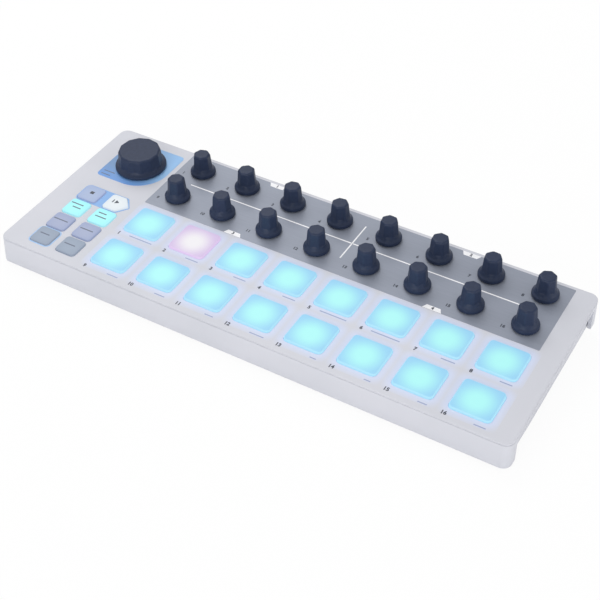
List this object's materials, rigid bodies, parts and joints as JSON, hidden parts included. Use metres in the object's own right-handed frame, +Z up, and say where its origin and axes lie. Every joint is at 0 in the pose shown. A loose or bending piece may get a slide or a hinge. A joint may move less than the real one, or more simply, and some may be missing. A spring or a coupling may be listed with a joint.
{
  "type": "midi pad controller",
  "caption": "Slim desktop music controller: lit silicone pads and keys and endless encoder knobs on a gently sloping deck over a steel base pan.",
  "frame": {"origin": "on the table, under the middle of the case's bottom outline", "axes": "+X along the width to the right, +Y from the front edge to the back, +Z up"},
  "size_m": [0.307, 0.118, 0.0374],
  "materials": {
    "case_plastic": "moulded ABS with a fine spark-eroded grain, pale lavender white",
    "pan_paint": "pressed steel sheet with pale grey powder coat",
    "foot_rubber": "black rubber, matte",
    "screw_steel": "zinc plated steel",
    "board_laminate": "glass-fibre laminate under green solder mask",
    "sensing_film": "printed polyester film",
    "light_lens": "clear resin over light emitters",
    "chip_resin": "black moulding resin",
    "cable_film": "white polyester flat cable",
    "encoder_body": "black nylon body",
    "socket_steel": "tinned steel shell",
    "jack_plastic": "black nylon body",
    "knob_soft_touch": "soft-touch coated plastic, dark slate, satin",
    "pad_silicone_cyan": "translucent silicone lit from under, pale cyan",
    "pad_silicone_pink": "translucent silicone lit from under, pale pink",
    "key_silicone_grey": "translucent silicone, unlit, grey",
    "key_silicone_white": "translucent silicone, nearly white",
    "key_silicone_cyan": "translucent silicone lit from under, cyan",
    "key_silicone_lavender": "translucent silicone, dimly lit, lavender"
  },
  "bodies": {
    "case": {"top_shell": "case_plastic", "base_pan": "pan_paint", "front_foot_strip": "foot_rubber", "back_foot_strip": "foot_rubber", "case_screws": "screw_steel", "pad_board": "board_laminate", "knob_board": "board_laminate", "socket_board": "board_laminate", "pressure_film": "sensing_film", "lights": "light_lens", "processor": "chip_resin", "flat_cables": "cable_film", "encoders": "encoder_body", "level_encoder": "encoder_body", "usb_socket": "socket_steel", "jack_1": "jack_plastic", "jack_2": "jack_plastic", "jack_3": "jack_plastic"},
    "level_knob": {"level_knob": "knob_soft_touch"},
    "knob_01": {"knob_01": "knob_soft_touch"},
    "knob_02": {"knob_02": "knob_soft_touch"},
    "knob_03": {"knob_03": "knob_soft_touch"},
    "knob_04": {"knob_04": "knob_soft_touch"},
    "knob_05": {"knob_05": "knob_soft_touch"},
    "knob_06": {"knob_06": "knob_soft_touch"},
    "knob_07": {"knob_07": "knob_soft_touch"},
    "knob_08": {"knob_08": "knob_soft_touch"},
    "knob_09": {"knob_09": "knob_soft_touch"},
    "knob_10": {"knob_10": "knob_soft_touch"},
    "knob_11": {"knob_11": "knob_soft_touch"},
    "knob_12": {"knob_12": "knob_soft_touch"},
    "knob_13": {"knob_13": "knob_soft_touch"},
    "knob_14": {"knob_14": "knob_soft_touch"},
    "knob_15": {"knob_15": "knob_soft_touch"},
    "knob_16": {"knob_16": "knob_soft_touch"},
    "pad_01": {"pad_01": "pad_silicone_cyan"},
    "pad_02": {"pad_02": "pad_silicone_pink"},
    "pad_03": {"pad_03": "pad_silicone_cyan"},
    "pad_04": {"pad_04": "pad_silicone_cyan"},
    "pad_05": {"pad_05": "pad_silicone_cyan"},
    "pad_06": {"pad_06": "pad_silicone_cyan"},
    "pad_07": {"pad_07": "pad_silicone_cyan"},
    "pad_08": {"pad_08": "pad_silicone_cyan"},
    "pad_09": {"pad_09": "pad_silicone_cyan"},
    "pad_10": {"pad_10": "pad_silicone_cyan"},
    "pad_11": {"pad_11": "pad_silicone_cyan"},
    "pad_12": {"pad_12": "pad_silicone_cyan"},
    "pad_13": {"pad_13": "pad_silicone_cyan"},
    "pad_14": {"pad_14": "pad_silicone_cyan"},
    "pad_15": {"pad_15": "pad_silicone_cyan"},
    "pad_16": {"pad_16": "pad_silicone_cyan"},
    "stop_key": {"stop_key": "key_silicone_grey"},
    "play_key": {"play_key": "key_silicone_white"},
    "mode_key": {"mode_key": "key_silicone_cyan"},
    "sync_key": {"sync_key": "key_silicone_cyan"},
    "recall_key": {"recall_key": "key_silicone_lavender"},
    "store_key": {"store_key": "key_silicone_lavender"},
    "shift_key": {"shift_key": "key_silicone_grey"},
    "channel_key": {"channel_key": "key_silicone_grey"}
  },
  "joints": [
    {"name": "pad_01_press", "type": "slide", "parent": "case", "child": "pad_01", "axis": [0, 0.0579, -0.9983], "range_m": [0, 0.001], "stiffness_N_per_m": 1500, "springref_m": -0.0005},
    {"name": "pad_02_press", "type": "slide", "parent": "case", "child": "pad_02", "axis": [0, 0.0579, -0.9983], "range_m": [0, 0.001], "stiffness_N_per_m": 1500, "springref_m": -0.0005},
    {"name": "pad_03_press", "type": "slide", "parent": "case", "child": "pad_03", "axis": [0, 0.0579, -0.9983], "range_m": [0, 0.001], "stiffness_N_per_m": 1500, "springref_m": -0.0005},
    {"name": "pad_04_press", "type": "slide", "parent": "case", "child": "pad_04", "axis": [0, 0.0579, -0.9983], "range_m": [0, 0.001], "stiffness_N_per_m": 1500, "springref_m": -0.0005},
    {"name": "pad_05_press", "type": "slide", "parent": "case", "child": "pad_05", "axis": [0, 0.0579, -0.9983], "range_m": [0, 0.001], "stiffness_N_per_m": 1500, "springref_m": -0.0005},
    {"name": "pad_06_press", "type": "slide", "parent": "case", "child": "pad_06", "axis": [0, 0.0579, -0.9983], "range_m": [0, 0.001], "stiffness_N_per_m": 1500, "springref_m": -0.0005},
    {"name": "pad_07_press", "type": "slide", "parent": "case", "child": "pad_07", "axis": [0, 0.0579, -0.9983], "range_m": [0, 0.001], "stiffness_N_per_m": 1500, "springref_m": -0.0005},
    {"name": "pad_08_press", "type": "slide", "parent": "case", "child": "pad_08", "axis": [0, 0.0579, -0.9983], "range_m": [0, 0.001], "stiffness_N_per_m": 1500, "springref_m": -0.0005},
    {"name": "pad_09_press", "type": "slide", "parent": "case", "child": "pad_09", "axis": [0, 0.0579, -0.9983], "range_m": [0, 0.001], "stiffness_N_per_m": 1500, "springref_m": -0.0005},
    {"name": "pad_10_press", "type": "slide", "parent": "case", "child": "pad_10", "axis": [0, 0.0579, -0.9983], "range_m": [0, 0.001], "stiffness_N_per_m": 1500, "springref_m": -0.0005},
    {"name": "pad_11_press", "type": "slide", "parent": "case", "child": "pad_11", "axis": [0, 0.0579, -0.9983], "range_m": [0, 0.001], "stiffness_N_per_m": 1500, "springref_m": -0.0005},
    {"name": "pad_12_press", "type": "slide", "parent": "case", "child": "pad_12", "axis": [0, 0.0579, -0.9983], "range_m": [0, 0.001], "stiffness_N_per_m": 1500, "springref_m": -0.0005},
    {"name": "pad_13_press", "type": "slide", "parent": "case", "child": "pad_13", "axis": [0, 0.0579, -0.9983], "range_m": [0, 0.001], "stiffness_N_per_m": 1500, "springref_m": -0.0005},
    {"name": "pad_14_press", "type": "slide", "parent": "case", "child": "pad_14", "axis": [0, 0.0579, -0.9983], "range_m": [0, 0.001], "stiffness_N_per_m": 1500, "springref_m": -0.0005},
    {"name": "pad_15_press", "type": "slide", "parent": "case", "child": "pad_15", "axis": [0, 0.0579, -0.9983], "range_m": [0, 0.001], "stiffness_N_per_m": 1500, "springref_m": -0.0005},
    {"name": "pad_16_press", "type": "slide", "parent": "case", "child": "pad_16", "axis": [0, 0.0579, -0.9983], "range_m": [0, 0.001], "stiffness_N_per_m": 1500, "springref_m": -0.0005},
    {"name": "stop_key_press", "type": "slide", "parent": "case", "child": "stop_key", "axis": [0, 0.0579, -0.9983], "range_m": [0, 0.0008], "stiffness_N_per_m": 400, "springref_m": -0.0005},
    {"name": "play_key_press", "type": "slide", "parent": "case", "child": "play_key", "axis": [0, 0.0579, -0.9983], "range_m": [0, 0.0008], "stiffness_N_per_m": 400, "springref_m": -0.0005},
    {"name": "mode_key_press", "type": "slide", "parent": "case", "child": "mode_key", "axis": [0, 0.0579, -0.9983], "range_m": [0, 0.0008], "stiffness_N_per_m": 400, "springref_m": -0.0005},
    {"name": "sync_key_press", "type": "slide", "parent": "case", "child": "sync_key", "axis": [0, 0.0579, -0.9983], "range_m": [0, 0.0008], "stiffness_N_per_m": 400, "springref_m": -0.0005},
    {"name": "recall_key_press", "type": "slide", "parent": "case", "child": "recall_key", "axis": [0, 0.0579, -0.9983], "range_m": [0, 0.0008], "stiffness_N_per_m": 400, "springref_m": -0.0005},
    {"name": "store_key_press", "type": "slide", "parent": "case", "child": "store_key", "axis": [0, 0.0579, -0.9983], "range_m": [0, 0.0008], "stiffness_N_per_m": 400, "springref_m": -0.0005},
    {"name": "shift_key_press", "type": "slide", "parent": "case", "child": "shift_key", "axis": [0, 0.0579, -0.9983], "range_m": [0, 0.0008], "stiffness_N_per_m": 400, "springref_m": -0.0005},
    {"name": "channel_key_press", "type": "slide", "parent": "case", "child": "channel_key", "axis": [0, 0.0579, -0.9983], "range_m": [0, 0.0008], "stiffness_N_per_m": 400, "springref_m": -0.0005},
    {"name": "knob_01_turn", "type": "hinge", "parent": "case", "child": "knob_01", "pos_m": [-0.0859, 0.0444, 0.02321], "axis": [0, -0.0579, 0.9983], "continuous": true},
    {"name": "knob_02_turn", "type": "hinge", "parent": "case", "child": "knob_02", "pos_m": [-0.0554, 0.0444, 0.02321], "axis": [0, -0.0579, 0.9983], "continuous": true},
    {"name": "knob_03_turn", "type": "hinge", "parent": "case", "child": "knob_03", "pos_m": [-0.0249, 0.0444, 0.02321], "axis": [0, -0.0579, 0.9983], "continuous": true},
    {"name": "knob_04_turn", "type": "hinge", "parent": "case", "child": "knob_04", "pos_m": [0.0056, 0.0444, 0.02321], "axis": [0, -0.0579, 0.9983], "continuous": true},
    {"name": "knob_05_turn", "type": "hinge", "parent": "case", "child": "knob_05", "pos_m": [0.0361, 0.0444, 0.02321], "axis": [0, -0.0579, 0.9983], "continuous": true},
    {"name": "knob_06_turn", "type": "hinge", "parent": "case", "child": "knob_06", "pos_m": [0.0666, 0.0444, 0.02321], "axis": [0, -0.0579, 0.9983], "continuous": true},
    {"name": "knob_07_turn", "type": "hinge", "parent": "case", "child": "knob_07", "pos_m": [0.0971, 0.0444, 0.02321], "axis": [0, -0.0579, 0.9983], "continuous": true},
    {"name": "knob_08_turn", "type": "hinge", "parent": "case", "child": "knob_08", "pos_m": [0.1276, 0.0444, 0.02321], "axis": [0, -0.0579, 0.9983], "continuous": true},
    {"name": "knob_09_turn", "type": "hinge", "parent": "case", "child": "knob_09", "pos_m": [-0.0859, 0.0182, 0.02169], "axis": [0, -0.0579, 0.9983], "continuous": true},
    {"name": "knob_10_turn", "type": "hinge", "parent": "case", "child": "knob_10", "pos_m": [-0.0554, 0.0182, 0.02169], "axis": [0, -0.0579, 0.9983], "continuous": true},
    {"name": "knob_11_turn", "type": "hinge", "parent": "case", "child": "knob_11", "pos_m": [-0.0249, 0.0182, 0.02169], "axis": [0, -0.0579, 0.9983], "continuous": true},
    {"name": "knob_12_turn", "type": "hinge", "parent": "case", "child": "knob_12", "pos_m": [0.0056, 0.0182, 0.02169], "axis": [0, -0.0579, 0.9983], "continuous": true},
    {"name": "knob_13_turn", "type": "hinge", "parent": "case", "child": "knob_13", "pos_m": [0.0361, 0.0182, 0.02169], "axis": [0, -0.0579, 0.9983], "continuous": true},
    {"name": "knob_14_turn", "type": "hinge", "parent": "case", "child": "knob_14", "pos_m": [0.0666, 0.0182, 0.02169], "axis": [0, -0.0579, 0.9983], "continuous": true},
    {"name": "knob_15_turn", "type": "hinge", "parent": "case", "child": "knob_15", "pos_m": [0.0971, 0.0182, 0.02169], "axis": [0, -0.0579, 0.9983], "continuous": true},
    {"name": "knob_16_turn", "type": "hinge", "parent": "case", "child": "knob_16", "pos_m": [0.1276, 0.0182, 0.02169], "axis": [0, -0.0579, 0.9983], "continuous": true},
    {"name": "level_knob_turn", "type": "hinge", "parent": "case", "child": "level_knob", "pos_m": [-0.12185, 0.0322, 0.0225], "axis": [0, -0.0579, 0.9983], "continuous": true}
  ]
}
